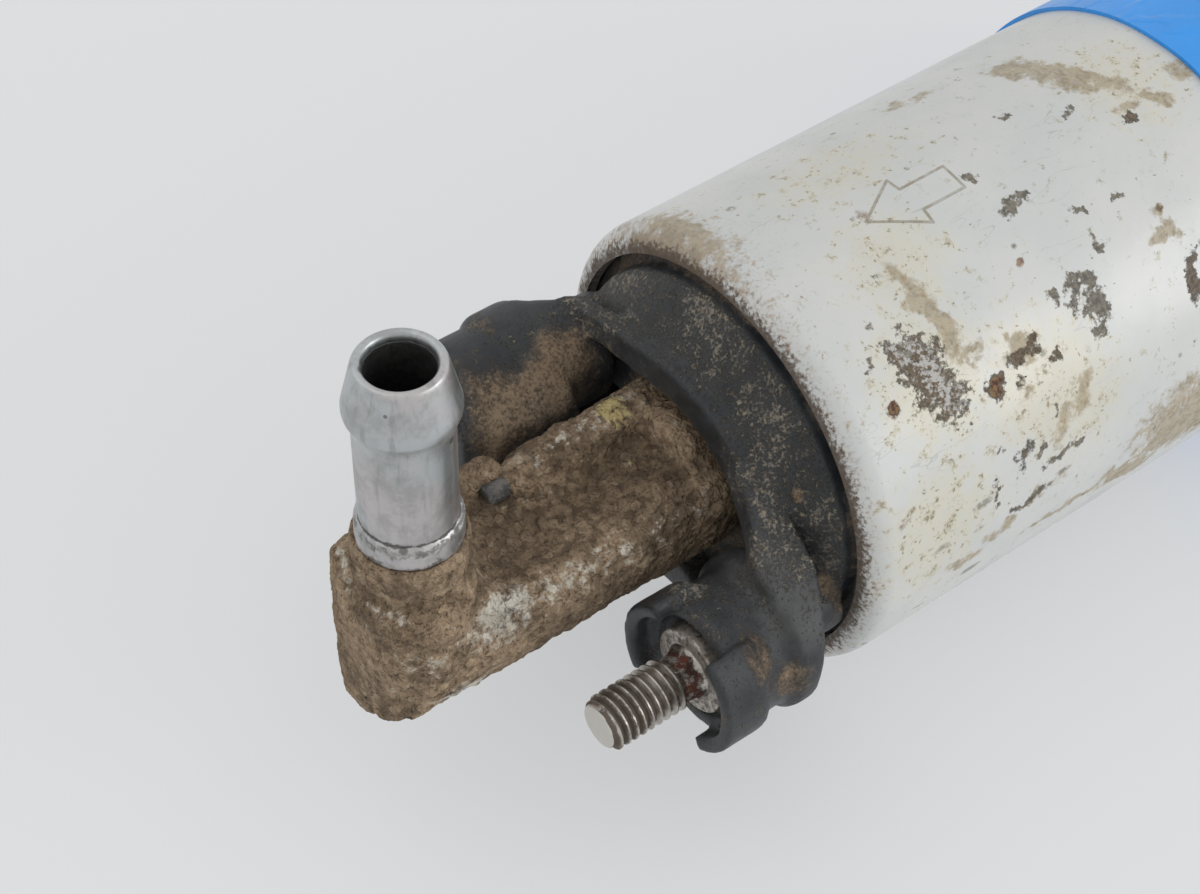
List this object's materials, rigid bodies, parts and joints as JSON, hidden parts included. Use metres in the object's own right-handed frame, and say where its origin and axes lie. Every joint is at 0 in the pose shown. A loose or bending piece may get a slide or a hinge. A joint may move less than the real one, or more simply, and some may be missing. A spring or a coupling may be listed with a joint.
{
  "type": "fuel pump",
  "caption": "Inline electric fuel pump: rolled steel barrel, moulded outlet end with two stud terminals, cast elbow with an upright hose barb, and a motor driving a rotor pump inside.",
  "frame": {"origin": "on the barrel's axis, at the middle of the blue clamp sleeve", "axes": "+X along the barrel towards the inlet, so fuel leaves towards -X; +Z is the way the outlet hose barb points; +Y completes the right-handed frame and the negative terminal is on its side"},
  "size_m": [0.1989, 0.0537, 0.0635],
  "materials": {
    "barrel_paint": "aged off-white lacquer on rolled steel, stained and specked",
    "blue_sleeve": "glossy blue plastic film",
    "black_plastic": "glass-filled moulding, dusty",
    "seal_rubber": "fuel-proof rubber",
    "die_cast": "die casting caked with dried mud",
    "plated_steel": "zinc plated",
    "terminal_steel": "plated, with rust at the root of the thread",
    "spring_steel": "bright wire",
    "ground_steel": "ground",
    "sintered_steel": "sintered, fine ground faces",
    "core_steel": "stamped laminations",
    "cover_alloy": "machined die casting",
    "bush_bronze": "sintered bronze",
    "valve_brass": "turned",
    "strip_brass": "pressed strip",
    "copper": "turned copper",
    "winding_copper": "enamelled wire",
    "carbon": "pressed carbon",
    "ferrite": "sintered ferrite",
    "valve_plastic": "natural acetal",
    "strainer_nylon": "nylon"
  },
  "bodies": {
    "housing": {"barrel": "barrel_paint", "clamp_sleeve": "blue_sleeve", "outlet_cap": "black_plastic", "cap_seal": "seal_rubber", "outlet_elbow": "die_cast", "hose_barb": "plated_steel", "gallery_pin": "plated_steel", "elbow_seal": "seal_rubber", "check_valve_seat": "valve_brass", "check_valve_spring": "spring_steel", "positive_stud": "terminal_steel", "negative_stud": "terminal_steel", "front_bush": "bush_bronze", "rear_bush": "bush_bronze", "flux_ring": "core_steel", "magnet_clips": "spring_steel", "bearing_plate": "cover_alloy", "rotor_housing": "cover_alloy", "inlet_cover": "cover_alloy", "cover_seal": "seal_rubber", "inlet_tube": "plated_steel", "inlet_strainer": "strainer_nylon", "brush_holder": "black_plastic", "relief_spring": "spring_steel", "relief_clip": "spring_steel", "negative_brush_tube": "strip_brass", "negative_brush_spring": "spring_steel", "negative_strip": "strip_brass", "negative_side_magnet": "ferrite", "positive_brush_tube": "strip_brass", "positive_brush_spring": "spring_steel", "positive_strip": "strip_brass", "positive_side_magnet": "ferrite"},
    "armature": {"armature_shaft": "ground_steel", "armature_core": "core_steel", "armature_winding": "winding_copper", "commutator": "copper", "front_washer": "valve_plastic", "rear_washer": "valve_plastic", "inner_rotor": "sintered_steel"},
    "outer_rotor": {"outer_rotor": "sintered_steel"},
    "check_valve": {"check_valve_poppet": "valve_plastic"},
    "relief_valve": {"relief_ball": "ground_steel"},
    "negative_brush": {"negative_brush": "carbon"},
    "positive_brush": {"positive_brush": "carbon"}
  },
  "joints": [
    {"name": "armature_spin", "type": "hinge", "parent": "housing", "child": "armature", "pos_m": [0, 0, 0], "axis": [1, 0, 0], "continuous": true},
    {"name": "outer_rotor_spin", "type": "hinge", "parent": "housing", "child": "outer_rotor", "pos_m": [0, -0.001, 0], "axis": [1, 0, 0], "continuous": true},
    {"name": "check_valve_slide", "type": "slide", "parent": "housing", "child": "check_valve", "axis": [-1, 0, 0], "range_m": [0, 0.0015], "stiffness_N_per_m": 150, "springref_m": -0.002, "deforming": ["check_valve_spring"]},
    {"name": "relief_valve_slide", "type": "slide", "parent": "housing", "child": "relief_valve", "axis": [1, 0, 0], "range_m": [0, 0.0012], "stiffness_N_per_m": 1200, "springref_m": -0.003, "deforming": ["relief_spring"]},
    {"name": "negative_brush_slide", "type": "slide", "parent": "housing", "child": "negative_brush", "axis": [0, 0.9655, 0.2605], "range_m": [0, 0.0015], "stiffness_N_per_m": 250, "springref_m": -0.004, "deforming": ["negative_brush_spring"]},
    {"name": "positive_brush_slide", "type": "slide", "parent": "housing", "child": "positive_brush", "axis": [0, -0.9655, -0.2605], "range_m": [0, 0.0015], "stiffness_N_per_m": 250, "springref_m": -0.004, "deforming": ["positive_brush_spring"]}
  ],
  "couplings": [
    {"joint": "outer_rotor_spin", "follows": "armature_spin", "ratio": 0.85714}
  ]
}
